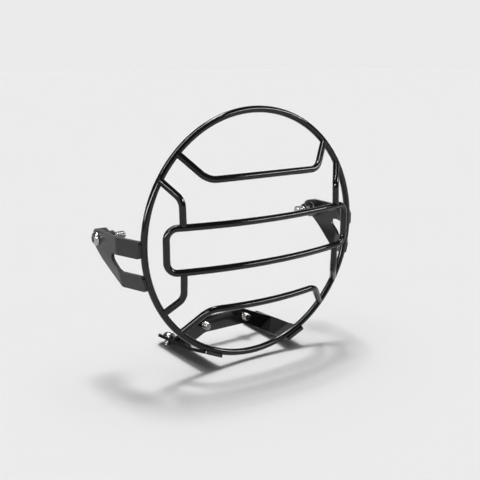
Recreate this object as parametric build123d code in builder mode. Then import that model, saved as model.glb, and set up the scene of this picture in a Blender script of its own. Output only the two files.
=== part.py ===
from build123d import *
import os
from math import asin, atan, cos, degrees, hypot, radians, sin, sqrt, tan

os.makedirs("parts", exist_ok=True)

# Headlight guard: a wire cage on a round hoop, with two bent sheet brackets at its sides
# and a two-armed sheet bracket at its foot.
# Millimetres. The origin is the centre of the hoop, +Z is up and -Y is the front.

# Wire cage
wire_d = 5.0  # round wire of every bar
ring_r = 92.0  # hoop, to the centre of the wire
bar_ring_angle = 45.0  # where the cross bars meet the hoop, above and below its middle
bar_corner_x = 48.2  # sharp corner of a cross bar, before its bend is rounded
bar_corner_z = 46.6
bar_corner_fwd = 13.2
bar_bow_r = 268.0  # forward bow of a cross bar between its corners
bar_bow_lift = 10.0  # lean of that bow away from the middle, in degrees
bar_bend_set = 7.0  # wire from the sharp corner to the end of the bend
loop_length = 159.8  # centre loop, to the centre of the wire
loop_height = 31.6
loop_fwd = 21.7
loop_bow_r = 265.0
loop_corner_r = 8.0
stub_ring_angle = 31.2  # where the stubs that carry the loop meet the hoop
stub_inset = 11.6  # from the end of the loop to a stub
stub_corner_z = 34.7
stub_corner_fwd = 11.9
stub_bend_set = 5.0
cope_gap = 0.05  # wire and sheet ends are shaped to the round wire with this much room

# Bent sheet
sheet_t = 2.5
bend_r = 4.0  # inside radius of the bends
nose_r = 1.5  # rounding of the welded sheet ends

# Side brackets
plate_front = 0.3  # front end of the arms, behind the middle of the hoop wire
plate_bite = 1.0  # how far the arms are let into the hoop before they are shaped to it
plate_standoff = 6.2  # from the outside of the hoop to the inner face of the rear part
plate_bend_y = 21.3  # bend line
plate_drop = 36.6  # full height
roll_r = 35.0  # inside radius of the roll below the eye
upper_arm_w = 12.5
lower_arm_w = 11.9
screw_y = 52.8  # side screw, behind the hoop
eye_r = 7.3  # rounded rear end about the screw
knee_y = 19.2  # rounded lower corner
knee_r = 8.0
window_top_y = 35.0  # slanting rear edge of the window between the arms
window_low_y = 18.8
window_r = 3.0

# Side bushes
flange_d = 14.6
flange_l = 5.5
spigot_d = 9.0
spigot_l = 5.5
bush_chamfer = 0.6

# Button-head screws
screw_d = 6.0  # over the thread
shank_d = 5.4  # plain part under the head
thread_runout = 0.3  # plain shank that shows past what the screw holds
head_d = 10.5
head_h = 3.3
head_rim = 0.7  # straight side of the head, under the dome
socket_af = 4.0
socket_deep = 1.9
tip_chamfer = 0.6
hole_room = 0.4  # hole diameter over screw diameter
side_screw_l = 22.0
bridge_screw_l = 8.0
arm_screw_l = 7.0

# Foot bracket
arm_angle = 24.1  # place of each arm round the hoop, from its lowest point
arm_w = 16.7
arm_bite = 0.7  # how far the front part is let into the hoop before it is shaped to it
arm_bend_y = 17.2
arm_standoff = 2.7  # from the outside of the hoop to the top face, at the bend
arm_rake = 4.8  # slope of the rear part away from the hoop, in degrees
arm_nose = 1.0  # front end, ahead of the hoop wire
arm_screw_y = 60.5
arm_tail = 8.2  # from the screw to the rear end
arm_tail_r = 6.0
bridge_y = 42.6  # middle of the bridge's thickness
bridge_w = 12.7  # height of the bridge's middle strip
bridge_rise = 6.9  # from the arms' inner edges to the strip's lower edge
bridge_flat = 38.0  # straight middle, between the kinks
bridge_foot = 15.0  # length of each foot along an arm
bridge_end_h = 1.3
bridge_kink_r = 10.0
bridge_pitch = 38.6  # between the two bridge screws

# Weld beads
bead_r = 1.2
bead_short = 2.0  # from the edge of an arm to the end of its bead

wire_r = wire_d / 2
ring_out = ring_r + wire_r
hole_r = (screw_d + hole_room) / 2


def on_ring(angle):
    """Point on the hoop's centre line, right-hand side."""
    return Vector(ring_r * cos(radians(angle)), 0, ring_r * sin(radians(angle)))


def flipped(point):
    """The same point on the left-hand side."""
    return Vector(-point.X, point.Y, point.Z)


# Hoop
with BuildPart() as ring:
    Torus(ring_r, wire_r, rotation=(90, 0, 0))

# Cross bars: a leg from the hoop, a bend, a long bow, a bend and a leg
bow_dir = Vector(0, -cos(radians(bar_bow_lift)), sin(radians(bar_bow_lift)))
bow_half = asin(bar_corner_x / hypot(bar_bow_r, bar_bend_set)) - atan(bar_bend_set / bar_bow_r)
bow_depth = bar_bow_r * (1 - cos(bow_half))
bar_corner = Vector(bar_corner_x, -bar_corner_fwd, bar_corner_z)
bar_start = on_ring(bar_ring_angle)
bar_leg = (bar_corner - bar_start).normalized()
bow_apex = Vector(0, -bar_corner_fwd, bar_corner_z) + bow_dir * (bow_depth + bar_bend_set * sin(bow_half))
bow_end = bow_apex - bow_dir * bow_depth + Vector(bar_bow_r * sin(bow_half), 0, 0)
bow_tangent = Vector(-cos(bow_half), 0, 0) + bow_dir * sin(bow_half)
bend_start = bar_corner - bar_leg * bar_bend_set

with BuildPart() as upper_bar:
    with BuildLine() as bar_path:
        Line(bar_start, bend_start)
        TangentArc(bend_start, bow_end, tangent=bar_leg)
        ThreePointArc(bow_end, bow_apex, flipped(bow_end))
        TangentArc(flipped(bow_end), flipped(bend_start), tangent=-flipped(bow_tangent))
        Line(flipped(bend_start), flipped(bar_start))
    with BuildSketch(Plane(bar_start, z_dir=bar_leg)):
        Circle(wire_r)
    sweep()
    Torus(ring_r, wire_r + cope_gap, rotation=(90, 0, 0), mode=Mode.SUBTRACT)

with BuildPart() as lower_bar:
    mirror(upper_bar.part, about=Plane.XY)

# Centre loop: a closed flat ring of wire, bowed about an upright axis
loop_x = loop_length / 2
loop_z = loop_height / 2
loop_half = asin(loop_x / hypot(loop_bow_r, loop_corner_r)) - atan(loop_corner_r / loop_bow_r)
run_x = loop_bow_r * sin(loop_half)
run_y = loop_bow_r * (1 - cos(loop_half)) - loop_fwd
end_y = run_y + loop_corner_r * sin(loop_half)
end_z = loop_z - loop_corner_r
run_dir = Vector(cos(loop_half), sin(loop_half), 0)

with BuildPart(mode=Mode.PRIVATE) as loop_room:
    with BuildLine() as loop_path:
        ThreePointArc((-run_x, run_y, loop_z), (0, -loop_fwd, loop_z), (run_x, run_y, loop_z))
        TangentArc((run_x, run_y, loop_z), (loop_x, end_y, end_z), tangent=run_dir)
        Line((loop_x, end_y, end_z), (loop_x, end_y, -end_z))
        TangentArc((loop_x, end_y, -end_z), (run_x, run_y, -loop_z), tangent=(0, 0, -1))
        ThreePointArc((run_x, run_y, -loop_z), (0, -loop_fwd, -loop_z), (-run_x, run_y, -loop_z))
        TangentArc((-run_x, run_y, -loop_z), (-loop_x, end_y, -end_z), tangent=flipped(run_dir))
        Line((-loop_x, end_y, -end_z), (-loop_x, end_y, end_z))
        TangentArc((-loop_x, end_y, end_z), (-run_x, run_y, loop_z), tangent=(0, 0, 1))
    with BuildSketch(Plane((-run_x, run_y, loop_z), z_dir=(cos(loop_half), -sin(loop_half), 0))):
        Circle(wire_r + cope_gap)
    sweep()

with BuildPart() as centre_loop:
    with BuildSketch(Plane((-run_x, run_y, loop_z), z_dir=(cos(loop_half), -sin(loop_half), 0))):
        Circle(wire_r)
    sweep(path=loop_path.line)

# Stubs: bent wire from the hoop to the loop
stub_x = loop_x - stub_inset
stub_start = on_ring(stub_ring_angle)
stub_corner = Vector(stub_x, -stub_corner_fwd, stub_corner_z)
stub_end = Vector(stub_x, loop_bow_r - sqrt(loop_bow_r**2 - stub_x**2) - loop_fwd, loop_z)
stub_leg = (stub_corner - stub_start).normalized()
stub_drop = (stub_end - stub_corner).normalized()
stub_bend = stub_corner - stub_leg * stub_bend_set
stub_turned = stub_corner + stub_drop * stub_bend_set

with BuildPart() as stub_upper_right:
    with BuildLine():
        Line(stub_start, stub_bend)
        TangentArc(stub_bend, stub_turned, tangent=stub_leg)
        Line(stub_turned, stub_end)
    with BuildSketch(Plane(stub_start, z_dir=stub_leg)):
        Circle(wire_r)
    sweep()
    Torus(ring_r, wire_r + cope_gap, rotation=(90, 0, 0), mode=Mode.SUBTRACT)
    add(loop_room.part, mode=Mode.SUBTRACT)

with BuildPart() as stub_upper_left:
    mirror(stub_upper_right.part, about=Plane.YZ)

with BuildPart() as stub_lower_right:
    mirror(stub_upper_right.part, about=Plane.XY)

with BuildPart() as stub_lower_left:
    mirror(stub_lower_right.part, about=Plane.YZ)

# Side brackets: one outline, cut from a bent sheet that is rolled below the eye so that
# the lower arm lies square on the hoop as the upper arm does
plate_in = ring_out + plate_standoff
plate_low = eye_r - plate_drop
lower_mid = plate_low + lower_arm_w / 2
roll = asin(-lower_mid / ring_out)
roll_x = plate_in - roll_r
roll_z = -roll_x * tan(roll / 2)
roll_axis = Axis((roll_x, 0, roll_z), (0, 1, 0))
plate_slope = (plate_standoff + plate_bite) / (plate_bend_y - plate_front)
sheet_front = plate_front - sheet_t
sheet_rear = screw_y + eye_r + sheet_t

with BuildPart() as side_plate_right:
    with BuildSketch(Plane.XY.offset(roll_z)) as plate_profile:
        with BuildLine():
            FilletPolyline(
                (plate_in, sheet_rear),
                (plate_in, plate_bend_y),
                (plate_in - plate_slope * (plate_bend_y - sheet_front), sheet_front),
                radius=bend_r,
            )
            offset(amount=sheet_t, side=Side.LEFT)
        make_face()
    extrude(amount=plate_drop)
    revolve(plate_profile.sketch, axis=roll_axis, revolution_arc=degrees(roll))
    rolled_profile = plate_profile.sketch.rotate(roll_axis, degrees(roll))
    extrude(rolled_profile, amount=plate_drop, dir=(-sin(roll), 0, -cos(roll)))
    with BuildSketch(Plane.YZ):
        with Locations((screw_y, 0)):
            Circle(eye_r)
        with Locations((knee_y, plate_low + knee_r)):
            Circle(knee_r)
        with BuildLine():
            Line((plate_front, eye_r), (plate_front, plate_low))
        make_hull()
        with BuildLine():
            Polyline(
                (sheet_front, eye_r - upper_arm_w),
                (window_top_y, eye_r - upper_arm_w),
                (window_low_y, plate_low + lower_arm_w),
                (sheet_front, plate_low + lower_arm_w),
                close=True,
            )
        make_face(mode=Mode.SUBTRACT)
        inside = vertices().filter_by_position(Axis.Y, plate_low + lower_arm_w, eye_r - upper_arm_w)
        fillet(inside.filter_by_position(Axis.X, window_low_y, window_top_y), window_r)
        fillet(vertices().group_by(Axis.X)[0], nose_r)
        with Locations((screw_y, 0)):
            Circle(hole_r, mode=Mode.SUBTRACT)
    extrude(amount=plate_in + sheet_t * 2, mode=Mode.INTERSECT)
    Torus(ring_r, wire_r + cope_gap, rotation=(90, 0, 0), mode=Mode.SUBTRACT)

with BuildPart() as side_plate_left:
    mirror(side_plate_right.part, about=Plane.YZ)

# Side bushes: a flange against the bracket and a spigot that enters the lamp's ear
with BuildPart() as bush_right:
    with BuildSketch(Plane.XY):
        with BuildLine():
            Polyline(
                (plate_in, screw_y + hole_r),
                (plate_in, screw_y + flange_d / 2),
                (plate_in - flange_l, screw_y + flange_d / 2),
                (plate_in - flange_l, screw_y + spigot_d / 2),
                (plate_in - flange_l - spigot_l, screw_y + spigot_d / 2),
                (plate_in - flange_l - spigot_l, screw_y + hole_r),
                close=True,
            )
        make_face()
    revolve(axis=Axis((0, screw_y, 0), (1, 0, 0)))
    rims = edges().filter_by(GeomType.CIRCLE).filter_by(lambda rim: rim.radius > hole_r * 1.01)
    chamfer(rims.sort_by(SortBy.RADIUS)[-1:] + rims.group_by(Axis.X)[0], bush_chamfer)

with BuildPart() as bush_left:
    mirror(bush_right.part, about=Plane.YZ)


# Button-head screw along Z, with its seat at the origin and its shank below
def button_screw(length, held):
    thread_top = -held - thread_runout
    with BuildPart() as screw:
        with BuildSketch(Plane.XZ):
            with BuildLine():
                Polyline((0, head_h), (0, -length), (screw_d / 2 - tip_chamfer, -length))
                Polyline(
                    (screw_d / 2 - tip_chamfer, -length),
                    (screw_d / 2, tip_chamfer - length),
                    (screw_d / 2, thread_top),
                    (shank_d / 2, thread_top),
                    (shank_d / 2, 0),
                    (head_d / 2, 0),
                    (head_d / 2, head_rim),
                )
                ThreePointArc((head_d / 2, head_rim), (head_d * 0.4, head_h * 0.66), (head_d * 0.25, head_h))
                Line((head_d * 0.25, head_h), (0, head_h))
            make_face()
        revolve(axis=Axis.Z)
        with BuildSketch(Plane.XY.offset(head_h)):
            RegularPolygon(socket_af / 2, 6, major_radius=False)
        extrude(amount=-socket_deep, mode=Mode.SUBTRACT)
    return screw.part


with BuildPart() as side_screws:
    with Locations(Plane((plate_in + sheet_t, screw_y, 0), z_dir=(1, 0, 0))):
        add(button_screw(side_screw_l, sheet_t + flange_l + spigot_l))
    mirror(about=Plane.YZ)

# Foot arms: strips laid square to the hoop's radius, bent so that the rear part slopes away from it
arm_radial = Vector(sin(radians(arm_angle)), 0, -cos(radians(arm_angle)))
arm_across = Vector(cos(radians(arm_angle)), 0, sin(radians(arm_angle)))
arm_along = Vector(0, cos(radians(arm_rake)), 0) + arm_radial * sin(radians(arm_rake))
arm_normal = Vector(0, sin(radians(arm_rake)), 0) - arm_radial * cos(radians(arm_rake))
arm_slope = (arm_standoff + arm_bite) / arm_bend_y
arm_front = -wire_r - arm_nose
arm_rear = arm_screw_y + arm_tail


def arm_top(y):
    """Distance of the rear part's top face from the hoop's axis."""
    return ring_out + arm_standoff + (y - arm_bend_y) * tan(radians(arm_rake))


arm_seat = Plane(
    arm_radial * arm_top(arm_screw_y) + Vector(0, arm_screw_y, 0), x_dir=arm_along, z_dir=arm_normal
)

with BuildPart() as foot_arm_right:
    with BuildSketch(Plane((0, 0, 0), x_dir=(0, 1, 0), z_dir=arm_across)):
        with BuildLine():
            FilletPolyline(
                (arm_rear, -arm_top(arm_rear)),
                (arm_bend_y, -arm_top(arm_bend_y)),
                (arm_front, arm_slope * (arm_bend_y - arm_front) - arm_top(arm_bend_y)),
                radius=bend_r,
            )
            offset(amount=sheet_t, side=Side.LEFT)
        make_face()
    extrude(amount=arm_w / 2, both=True)
    corners = edges().filter_by(lambda edge: abs(edge.length - sheet_t) < sheet_t / 100)
    fillet(corners.group_by(Axis.Y)[-1], arm_tail_r)
    fillet(corners.group_by(Axis.Y)[0], nose_r)
    with Locations(arm_seat):
        Hole(hole_r, depth=sheet_t * 2)
    Torus(ring_r, wire_r + cope_gap, rotation=(90, 0, 0), mode=Mode.SUBTRACT)

with BuildPart() as foot_arm_left:
    mirror(foot_arm_right.part, about=Plane.YZ)

with BuildPart() as arm_screws:
    with Locations(arm_seat):
        add(button_screw(arm_screw_l, sheet_t))
    mirror(about=Plane.YZ)

# Bridge: an arched strip that stands on the two arms
foot_in = arm_radial * arm_top(bridge_y) - arm_across * (arm_w / 2)
foot_out = foot_in + arm_across * bridge_foot
strip_low = foot_in.Z + bridge_rise
strip_top = strip_low + bridge_w
strip_mid = strip_low + bridge_w / 2
bridge_back = bridge_y + sheet_t / 2

with BuildPart() as bridge:
    with BuildSketch(Plane.XZ.offset(-bridge_back)) as bridge_face:
        with BuildLine():
            Polyline(
                (0, strip_top),
                (bridge_flat / 2, strip_top),
                (foot_out.X, foot_out.Z + bridge_end_h),
                (foot_out.X, foot_out.Z),
                (foot_in.X, foot_in.Z),
                (bridge_flat / 2, strip_low),
                (0, strip_low),
            )
            mirror(about=Plane.YZ)
        make_face()
        kink_limit = (bridge_flat / 2 + foot_in.X) / 2
        kinks = bridge_face.vertices().filter_by_position(Axis.X, -kink_limit, kink_limit)
        fillet([kink for kink in kinks if abs(kink.X) > bridge_flat / 4], bridge_kink_r)
        with Locations((bridge_pitch / 2, strip_mid), (-bridge_pitch / 2, strip_mid)):
            Circle(hole_r, mode=Mode.SUBTRACT)
    extrude(amount=sheet_t)
    add(foot_arm_right.part, mode=Mode.SUBTRACT)
    add(foot_arm_left.part, mode=Mode.SUBTRACT)

with BuildPart() as bridge_screws:
    with Locations(Plane((bridge_pitch / 2, bridge_back, strip_mid), x_dir=(1, 0, 0), z_dir=(0, 1, 0))):
        add(button_screw(bridge_screw_l, sheet_t))
    mirror(about=Plane.YZ)


# Weld beads between each sheet arm and the hoop
def seam(distance, y, start, end):
    """Bead that runs round the hoop's axis between two angles above +X, in degrees."""
    with BuildPart() as bead:
        with BuildSketch(Plane.XY.rotated((0, -start, 0))):
            with Locations((distance, y)):
                Circle(bead_r)
        revolve(axis=Axis((0, 0, 0), (0, -1, 0)), revolution_arc=end - start)
    return bead.part


def rise(z):
    """Angle above +X of a height on the hoop's outside, in degrees."""
    return degrees(asin(z / ring_out))


side_bead_r = ring_out + bead_r / 3
side_bead_y = plate_front - bead_r / 2
upper_seam = rise(eye_r - upper_arm_w + bead_short), rise(eye_r - bead_short)
lower_seam = rise(plate_low + bead_short), rise(plate_low + lower_arm_w - bead_short)

with BuildPart() as side_welds:
    add(seam(side_bead_r, side_bead_y, *upper_seam))
    add(seam(side_bead_r, side_bead_y, *lower_seam))
    Torus(ring_r, wire_r + cope_gap, rotation=(90, 0, 0), mode=Mode.SUBTRACT)
    add(side_plate_right.part, mode=Mode.SUBTRACT)
    mirror(about=Plane.YZ)

foot_bead_r = ring_out - arm_bite / 2 - bead_r / 2
foot_bead_half = degrees((arm_w / 2 - bead_short) / ring_out)

with BuildPart() as foot_welds:
    add(seam(foot_bead_r, wire_r, arm_angle - 90 - foot_bead_half, arm_angle - 90 + foot_bead_half))
    Torus(ring_r, wire_r + cope_gap, rotation=(90, 0, 0), mode=Mode.SUBTRACT)
    add(foot_arm_right.part, mode=Mode.SUBTRACT)
    mirror(about=Plane.YZ)

ring.part.label = "ring"
upper_bar.part.label = "upper_bar"
lower_bar.part.label = "lower_bar"
centre_loop.part.label = "centre_loop"
stub_upper_right.part.label = "stub_upper_right"
stub_upper_left.part.label = "stub_upper_left"
stub_lower_right.part.label = "stub_lower_right"
stub_lower_left.part.label = "stub_lower_left"
side_plate_right.part.label = "side_plate_right"
side_plate_left.part.label = "side_plate_left"
bush_right.part.label = "bush_right"
bush_left.part.label = "bush_left"
side_screws.part.label = "side_screws"
foot_arm_right.part.label = "foot_arm_right"
foot_arm_left.part.label = "foot_arm_left"
arm_screws.part.label = "arm_screws"
bridge.part.label = "bridge"
bridge_screws.part.label = "bridge_screws"
side_welds.part.label = "side_welds"
foot_welds.part.label = "foot_welds"

export_step(ring.part, "parts/ring.step")
export_step(upper_bar.part, "parts/upper_bar.step")
export_step(lower_bar.part, "parts/lower_bar.step")
export_step(centre_loop.part, "parts/centre_loop.step")
export_step(stub_upper_right.part, "parts/stub_upper_right.step")
export_step(stub_upper_left.part, "parts/stub_upper_left.step")
export_step(stub_lower_right.part, "parts/stub_lower_right.step")
export_step(stub_lower_left.part, "parts/stub_lower_left.step")
export_step(side_plate_right.part, "parts/side_plate_right.step")
export_step(side_plate_left.part, "parts/side_plate_left.step")
export_step(bush_right.part, "parts/bush_right.step")
export_step(bush_left.part, "parts/bush_left.step")
export_step(side_screws.part, "parts/side_screws.step")
export_step(foot_arm_right.part, "parts/foot_arm_right.step")
export_step(foot_arm_left.part, "parts/foot_arm_left.step")
export_step(arm_screws.part, "parts/arm_screws.step")
export_step(bridge.part, "parts/bridge.step")
export_step(bridge_screws.part, "parts/bridge_screws.step")
export_step(side_welds.part, "parts/side_welds.step")
export_step(foot_welds.part, "parts/foot_welds.step")
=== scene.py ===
import math
import bpy
import bmesh
from mathutils import Euler, Matrix, Vector


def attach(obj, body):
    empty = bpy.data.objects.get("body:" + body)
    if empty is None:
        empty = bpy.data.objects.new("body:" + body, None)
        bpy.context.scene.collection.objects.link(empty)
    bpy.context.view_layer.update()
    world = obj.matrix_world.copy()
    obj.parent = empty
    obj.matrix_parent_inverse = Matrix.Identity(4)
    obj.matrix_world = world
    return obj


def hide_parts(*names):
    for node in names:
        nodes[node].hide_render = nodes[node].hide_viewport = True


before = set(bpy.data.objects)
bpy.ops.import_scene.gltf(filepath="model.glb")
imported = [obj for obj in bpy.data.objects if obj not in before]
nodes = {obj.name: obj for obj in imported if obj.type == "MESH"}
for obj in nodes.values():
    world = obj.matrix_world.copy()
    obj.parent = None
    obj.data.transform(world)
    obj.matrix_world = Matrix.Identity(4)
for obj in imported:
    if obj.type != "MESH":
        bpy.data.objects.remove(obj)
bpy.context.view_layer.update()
MM = 0.001

WIRES = ["ring", "upper_bar", "lower_bar", "centre_loop",
         "stub_upper_right", "stub_upper_left", "stub_lower_right", "stub_lower_left"]
WELDS = ["side_welds", "foot_welds"]
SIDE_PLATES = ["side_plate_right", "side_plate_left"]
FOOT = ["foot_arm_right", "foot_arm_left", "bridge"]
BUSHES = ["bush_right", "bush_left"]
SCREWS = ["side_screws", "arm_screws", "bridge_screws"]


def add_object(name, data):
    """A new object in the scene."""
    obj = bpy.data.objects.new(name, data)
    bpy.context.scene.collection.objects.link(obj)
    return obj


# Materials

NOISE_LOW = 0.3  # most of a noise lies between these two values
NOISE_HIGH = 0.7


def noise(tree, scale, detail):
    """Noise in the piece's own coordinates."""
    coord = tree.nodes.new("ShaderNodeTexCoord")
    texture = tree.nodes.new("ShaderNodeTexNoise")
    texture.inputs["Scale"].default_value = scale
    texture.inputs["Detail"].default_value = detail
    tree.links.new(coord.outputs["Object"], texture.inputs["Vector"])
    return texture.outputs["Fac"]


def ramp(tree, source, start, end, low, high):
    """Colour that goes from low to high as the source goes from start to end."""
    node = tree.nodes.new("ShaderNodeValToRGB")
    first, last = node.color_ramp.elements
    first.position = start
    last.position = end
    first.color = (*low, 1)
    last.color = (*high, 1)
    tree.links.new(source, node.inputs["Fac"])
    return node.outputs["Color"]


def spread(tree, source, low, high):
    """Value that goes from low to high with a noise."""
    node = tree.nodes.new("ShaderNodeMapRange")
    node.inputs["From Min"].default_value = NOISE_LOW
    node.inputs["From Max"].default_value = NOISE_HIGH
    node.inputs["To Min"].default_value = low
    node.inputs["To Max"].default_value = high
    tree.links.new(source, node.inputs["Value"])
    return node.outputs["Result"]


def bump(tree, source, strength, distance):
    """Normal that takes the source as a height."""
    node = tree.nodes.new("ShaderNodeBump")
    node.inputs["Strength"].default_value = strength
    node.inputs["Distance"].default_value = distance
    tree.links.new(source, node.inputs["Height"])
    return node.outputs["Normal"]


def coat(name, pieces, cloud, dark, light, rough, grain, relief, specular=0.5, metallic=0.0):
    """A surface with a cloudy tint and gloss over a fine grain, put on the pieces.

    cloud and grain are (scale, detail) of a noise, rough is (least, most), and relief is the
    grain's (strength, distance in metres).
    """
    mat = bpy.data.materials.new(name)
    mat.use_nodes = True
    tree = mat.node_tree
    shader = tree.nodes["Principled BSDF"]
    shader.inputs["Specular IOR Level"].default_value = specular
    shader.inputs["Metallic"].default_value = metallic
    clouds = noise(tree, *cloud)
    tint = ramp(tree, clouds, NOISE_LOW, NOISE_HIGH, dark, light)
    tree.links.new(tint, shader.inputs["Base Color"])
    tree.links.new(spread(tree, clouds, *rough), shader.inputs["Roughness"])
    tree.links.new(bump(tree, noise(tree, *grain), *relief), shader.inputs["Normal"])
    for piece in pieces:
        nodes[piece].data.materials.clear()
        nodes[piece].data.materials.append(mat)
    return mat


# Gloss black powder coat on the wire and the beads, with a faint orange peel
coat("wire_coat", WIRES + WELDS, cloud=(60.0, 3.0),
     dark=(0.002, 0.002, 0.0022), light=(0.005, 0.005, 0.0053), rough=(0.08, 0.14),
     grain=(900.0, 2.0), relief=(0.12, 0.0002), specular=0.43)

# Satin black coat on the side brackets
coat("sheet_coat", SIDE_PLATES, cloud=(45.0, 3.0),
     dark=(0.008, 0.008, 0.0085), light=(0.016, 0.016, 0.0168), rough=(0.30, 0.40),
     grain=(1400.0, 2.0), relief=(0.2, 0.0001))

# Smoother black coat on the foot
coat("foot_coat", FOOT, cloud=(50.0, 3.0),
     dark=(0.009, 0.009, 0.0095), light=(0.015, 0.015, 0.0155), rough=(0.06, 0.10),
     grain=(1100.0, 2.0), relief=(0.08, 0.0001))

# Black moulded bushes
coat("bush_black", BUSHES, cloud=(120.0, 3.0),
     dark=(0.006, 0.006, 0.0065), light=(0.014, 0.014, 0.0145), rough=(0.28, 0.42),
     grain=(2000.0, 2.0), relief=(0.15, 0.0001))

# Bright plated screws
steel_mat = coat("screw_steel", SCREWS, cloud=(400.0, 4.0),
                 dark=(0.34, 0.336, 0.33), light=(0.46, 0.455, 0.445), rough=(0.16, 0.28),
                 grain=(400.0, 4.0), relief=(0.08, 0.0001), metallic=1.0)


# Screws with threads and sockets, in the places of the plain ones

# Places, in millimetres as in the CAD
RING_R = 92.0  # hoop, to the centre of the wire
WIRE_R = 2.5
RING_OUT = RING_R + WIRE_R
SHEET = 2.5
PLATE_STANDOFF = 6.2  # from the hoop to the side brackets' inner faces
PLATE_OUT = RING_OUT + PLATE_STANDOFF + SHEET
BUSH_L = 11.0
SIDE_SCREW_Y = 52.8
SIDE_SCREW_L = 22.0
ARM_ANGLE = math.radians(24.1)  # place of each foot arm round the hoop, from its lowest point
ARM_RAKE = math.radians(4.8)  # slope of the arms away from the hoop
ARM_W = 16.7
ARM_BEND_Y = 17.2
ARM_STANDOFF = 2.7  # from the hoop to the arms' top faces, at the bend
ARM_SCREW_Y = 60.5
ARM_SCREW_L = 7.0
BRIDGE_Y = 42.6  # middle of the bridge's thickness
BRIDGE_BACK = BRIDGE_Y + SHEET / 2
BRIDGE_W = 12.7  # height of the bridge's middle strip
BRIDGE_RISE = 6.9  # from the arms' inner edges to the strip's lower edge
BRIDGE_PITCH = 38.6  # between the bridge screws
BRIDGE_SCREW_L = 8.0

# Shape of a screw, in millimetres. A height is measured from the seat of the head.
CREST_R = 3.0
THREAD_DEEP = 0.6
PITCH = 1.0
CREST_FLAT = 0.14  # share of the pitch that is crest
FLANK = 0.64  # share of the pitch that slopes
SHANK_R = 2.7  # plain part under the head
RUNOUT = 0.3  # plain part past what the screw holds
FADE = 0.5  # length over which the thread fades into the shank
TIP_FACE = [0.9, 1.7]  # radii of the rows on the flat tip
TIP_R = 2.3
TIP_SLOPE = 1.1  # radius that the tip's cone gains per millimetre
ROWS_PER_MM = 10
HEAD_EDGE = [(4.95, 0.0), (5.18, 0.07), (5.25, 0.25), (5.25, 0.6)]  # (radius, height) of each row
DOME_LOW = (5.22, 0.75)
DOME_TOP = (2.75, 3.27)
DOME_START = math.radians(12)
DOME_END = math.radians(74)
DOME_STEPS = 8
SOCKET_RIM = [(2.6, 3.3), (2.42, 3.28)]
SOCKET_AF = 4.0
LIP_ROOM = 0.02  # how far the socket opens at its lip
LIP_Z = 3.1
WALL_ENDS_Z = [3.0, 1.45]  # straight walls of the socket
CONE_Z = 1.1  # halfway in on the socket's coned floor
CONE_TIP_Z = 0.9
SHARP = math.radians(38)  # edges that turn more than this stay hard
SIDES = 48


def arm_top(y):
    """Distance of the arms' top faces from the hoop's axis."""
    return RING_OUT + ARM_STANDOFF + (y - ARM_BEND_Y) * math.tan(ARM_RAKE)


def thread_radius(angle, z):
    """Radius of the helical thread, with flat crests and roots."""
    turn = (z / PITCH - angle / (2 * math.pi)) % 1.0
    from_crest = abs(2 * turn - 1)
    down_flank = min(max((from_crest - CREST_FLAT) / FLANK, 0.0), 1.0)
    return CREST_R - THREAD_DEEP * down_flank


def thread_row(z, tip, top):
    """Radius by angle at one height, with a coned tip and a thread that fades out at the top."""
    limit = TIP_R + (z - tip) * TIP_SLOPE
    fade = min(1.0, (top - z) / FADE)
    return lambda angle: min(SHANK_R + (thread_radius(angle, z) - SHANK_R) * fade, limit)


def round_row(radius):
    """The same radius at every angle."""
    return lambda angle: radius


def hexagon(angle):
    """Radius of the socket's six walls."""
    return SOCKET_AF / 2 / math.cos((angle % (math.pi / 3)) - math.pi / 6)


def dome_point(share):
    """(Radius, height) on the head's dome, a stretched arc from its low edge to its top."""
    angle = DOME_START + (DOME_END - DOME_START) * share
    out = (math.cos(angle) - math.cos(DOME_END)) / (math.cos(DOME_START) - math.cos(DOME_END))
    up = (math.sin(angle) - math.sin(DOME_START)) / (math.sin(DOME_END) - math.sin(DOME_START))
    radius = DOME_TOP[0] + (DOME_LOW[0] - DOME_TOP[0]) * out
    height = DOME_LOW[1] + (DOME_TOP[1] - DOME_LOW[1]) * up
    return radius, height


def screw_rows(length, held):
    """Rows of (radius by angle, height), from the tip up the outside and down into the socket."""
    tip = -length
    top = -held - RUNOUT
    steps = round((top - tip) * ROWS_PER_MM)
    rows = [(round_row(radius), tip) for radius in TIP_FACE]
    for i in range(steps + 1):
        z = tip + (top - tip) * i / steps
        rows.append((thread_row(z, tip, top), z))
    shank = [(SHANK_R, top), (SHANK_R, 0.0)]
    dome = [dome_point(i / DOME_STEPS) for i in range(DOME_STEPS + 1)]
    for radius, z in shank + HEAD_EDGE + dome + SOCKET_RIM:
        rows.append((round_row(radius), z))
    rows.append((lambda angle: hexagon(angle) + LIP_ROOM, LIP_Z))
    rows += [(hexagon, z) for z in WALL_ENDS_Z]
    rows.append((lambda angle: hexagon(angle) / 2, CONE_Z))
    return rows


def screw_shape(length, held):
    """Points and faces of one upright screw, with the seat of its head at the origin."""
    rows = screw_rows(length, held)
    points = []
    for radius, z in rows:
        for k in range(SIDES):
            angle = 2 * math.pi * k / SIDES
            points.append(Vector((radius(angle) * math.cos(angle), radius(angle) * math.sin(angle), z)))
    last_row = len(points) - SIDES
    tip = len(points)
    points.append(Vector((0, 0, -length)))
    points.append(Vector((0, 0, CONE_TIP_Z)))
    around = [(k, (k + 1) % SIDES) for k in range(SIDES)]
    faces = []
    for row in range(0, last_row, SIDES):
        for k, j in around:
            faces.append((row + k, row + j, row + SIDES + j, row + SIDES + k))
    for k, j in around:
        faces.append((tip, j, k))
        faces.append((tip + 1, last_row + k, last_row + j))
    return points, faces


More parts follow.
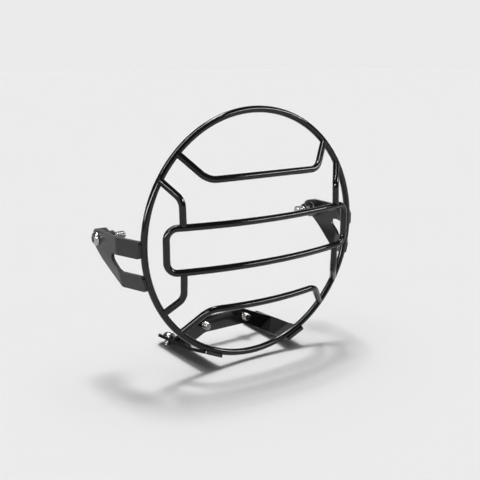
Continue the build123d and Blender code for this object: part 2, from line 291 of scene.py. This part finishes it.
def screws(name, length, held, places):
    """One object of like screws. A place is (seat point in mm, direction of the head)."""
    points, shape = screw_shape(length, held)
    verts, faces = [], []
    for seat, head in places:
        spin = Vector(head).to_track_quat("Z", "Y").to_matrix()
        faces += [[len(verts) + corner for corner in face] for face in shape]
        verts += [(Vector(seat) + spin @ point) * MM for point in points]
    mesh = bpy.data.meshes.new(name)
    mesh.from_pydata(verts, [], faces)
    mesh.materials.append(steel_mat)
    mesh.polygons.foreach_set("use_smooth", [True] * len(mesh.polygons))
    mesh.set_sharp_from_angle(angle=SHARP)
    mesh.update()
    obj = add_object(name, mesh)
    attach(obj, "root")
    return obj


flip = Vector((-1, 1, 1))
radial = Vector((math.sin(ARM_ANGLE), 0, -math.cos(ARM_ANGLE)))
arm_seat = radial * arm_top(ARM_SCREW_Y) + Vector((0, ARM_SCREW_Y, 0))
arm_head = Vector((0, math.sin(ARM_RAKE), 0)) - radial * math.cos(ARM_RAKE)
arm_edge_z = -arm_top(BRIDGE_Y) * math.cos(ARM_ANGLE) - ARM_W / 2 * math.sin(ARM_ANGLE)
bridge_z = arm_edge_z + BRIDGE_RISE + BRIDGE_W / 2

side = screws("side_screws_threaded", SIDE_SCREW_L, SHEET + BUSH_L, [
    ((PLATE_OUT, SIDE_SCREW_Y, 0), (1, 0, 0)),
    ((-PLATE_OUT, SIDE_SCREW_Y, 0), (-1, 0, 0))])
arms = screws("arm_screws_threaded", ARM_SCREW_L, SHEET, [
    (arm_seat, arm_head),
    (arm_seat * flip, arm_head * flip)])
studs = screws("bridge_screws_threaded", BRIDGE_SCREW_L, SHEET, [
    ((BRIDGE_PITCH / 2, BRIDGE_BACK, bridge_z), (0, 1, 0)),
    ((-BRIDGE_PITCH / 2, BRIDGE_BACK, bridge_z), (0, 1, 0))])
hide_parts("side_screws")
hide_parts("arm_screws")
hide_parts("bridge_screws")


# Floor

FLOOR_Z = -98.4 * MM
FLOOR_HALF = 12.0  # metres, like the sizes of the lights
FLOOR_CELLS = 8
PALE = (0.83, 0.83, 0.83)  # floor and backdrop

floor_mesh = bpy.data.meshes.new("floor")
grid = bmesh.new()
bmesh.ops.create_grid(grid, x_segments=FLOOR_CELLS, y_segments=FLOOR_CELLS, size=FLOOR_HALF)
grid.to_mesh(floor_mesh)
grid.free()
floor = add_object("floor", floor_mesh)
floor.location = (0, 0, FLOOR_Z)
floor_mat = bpy.data.materials.new("floor_pale")
floor_mat.use_nodes = True
floor_shader = floor_mat.node_tree.nodes["Principled BSDF"]
floor_shader.inputs["Base Color"].default_value = (*PALE, 1)
floor_shader.inputs["Roughness"].default_value = 1.0
floor_shader.inputs["Specular IOR Level"].default_value = 0.0
floor_mesh.materials.append(floor_mat)


# World: a pale backdrop, a weak fill light and, for reflections, a room that pales towards the backdrop

FILL = 0.13
ROOM = (0.12, 0.12, 0.12)
BACKDROP = (0.563, 0.826, -1.2)  # away from the camera and down
ROOM_ENDS = 0.25  # product of a direction and BACKDROP up to which the room stays dim
PALE_STARTS = 0.85  # and from which it is pale

world = bpy.data.worlds.new("studio")
bpy.context.scene.world = world
world.use_nodes = True
sky = world.node_tree
sky.nodes.clear()


def background(colour, strength):
    """One even light from all sides."""
    node = sky.nodes.new("ShaderNodeBackground")
    node.inputs["Color"].default_value = (*colour, 1)
    node.inputs["Strength"].default_value = strength
    return node


def either(choice, plain, chosen):
    """The plain shader, or the chosen one for rays where the choice is 1."""
    node = sky.nodes.new("ShaderNodeMixShader")
    sky.links.new(choice, node.inputs["Fac"])
    sky.links.new(plain.outputs[0], node.inputs[1])
    sky.links.new(chosen.outputs[0], node.inputs[2])
    return node


direction = sky.nodes.new("ShaderNodeTexCoord")
facing = sky.nodes.new("ShaderNodeVectorMath")
facing.operation = "DOT_PRODUCT"
facing.inputs[1].default_value = BACKDROP
sky.links.new(direction.outputs["Generated"], facing.inputs[0])
room_tint = ramp(sky, facing.outputs["Value"], ROOM_ENDS, PALE_STARTS, ROOM, PALE)
mirrored = background(ROOM, 1.0)
sky.links.new(room_tint, mirrored.inputs["Color"])

ray = sky.nodes.new("ShaderNodeLightPath")
reflected = sky.nodes.new("ShaderNodeMath")
reflected.operation = "MAXIMUM"
sky.links.new(ray.outputs["Is Glossy Ray"], reflected.inputs[0])
sky.links.new(ray.outputs["Is Transmission Ray"], reflected.inputs[1])
lighting = either(reflected.outputs[0], background((1, 1, 1), FILL), mirrored)
surround = either(ray.outputs["Is Camera Ray"], lighting, background(PALE, 1.0))
sky_out = sky.nodes.new("ShaderNodeOutputWorld")
sky.links.new(surround.outputs[0], sky_out.inputs["Surface"])


# Lights

STRIP_AWAY = 1.5  # from the origin
STRIP_W = 0.12
STRIP_GLOW = 34.0


def sun(name, toward, energy, angle):
    """A far light of the given width in degrees."""
    light = bpy.data.lights.new(name, "SUN")
    light.energy = energy
    light.angle = math.radians(angle)
    obj = add_object(name, light)
    obj.rotation_euler = Vector(toward).to_track_quat("Z", "Y").to_euler()
    return obj


def strip(name, toward, along, length):
    """A strip that draws highlights along the wires and leaves the floor as it is."""
    light = bpy.data.lights.new(name, "AREA")
    light.shape = "RECTANGLE"
    light.size = length
    light.size_y = STRIP_W
    light.energy = STRIP_GLOW * length * STRIP_W * math.pi
    z_dir = Vector(toward).normalized()
    y_dir = z_dir.cross(Vector(along)).normalized()
    x_dir = y_dir.cross(z_dir)
    turned = Matrix((x_dir, y_dir, z_dir)).transposed().to_4x4()
    obj = add_object(name, light)
    obj.matrix_world = Matrix.Translation(z_dir * STRIP_AWAY) @ turned
    obj.visible_diffuse = False


# A key light from above and behind, and a broad one round it that softens the far shadow
sun("key", toward=(0.14, 0.29, 1.0), energy=1.65, angle=15.0)
overhead = sun("overhead", toward=(0.07, 0.15, 1.0), energy=1.20, angle=62.0)
overhead.visible_glossy = False

strip("strip_top", toward=(-0.333, -0.06, 0.94), along=(0.94, 0, 0.33), length=1.68)
strip("strip_front", toward=(0.70, -0.62, 0.46), along=(0.66, 0.75, 0), length=1.1)
strip("strip_left", toward=(-0.87, -0.38, 0.31), along=(-0.46, 0.86, -0.23), length=1.6)


# Camera

PHOTO_PX = 480  # width of the photo
FOCAL_PX = 738.25
SENSOR = 36.0
CAM_PLACE = Vector((-311.2038, -437.0996, 128.2482)) * MM
CAM_TURN = math.radians(34.29058)  # from +Y to the right
CAM_DIP = math.radians(13.92269)  # below level

cam = bpy.data.cameras.new("camera")
cam.sensor_fit = "HORIZONTAL"
cam.sensor_width = SENSOR
cam.lens = FOCAL_PX / PHOTO_PX * SENSOR
cam.clip_start = 0.01
cam.clip_end = 100.0
cam_obj = add_object("camera", cam)
cam_turned = Euler((math.pi / 2 - CAM_DIP, 0, -CAM_TURN)).to_matrix().to_4x4()
cam_obj.matrix_world = Matrix.Translation(CAM_PLACE) @ cam_turned
bpy.context.scene.camera = cam_obj
bpy.context.scene.view_settings.view_transform = "Standard"
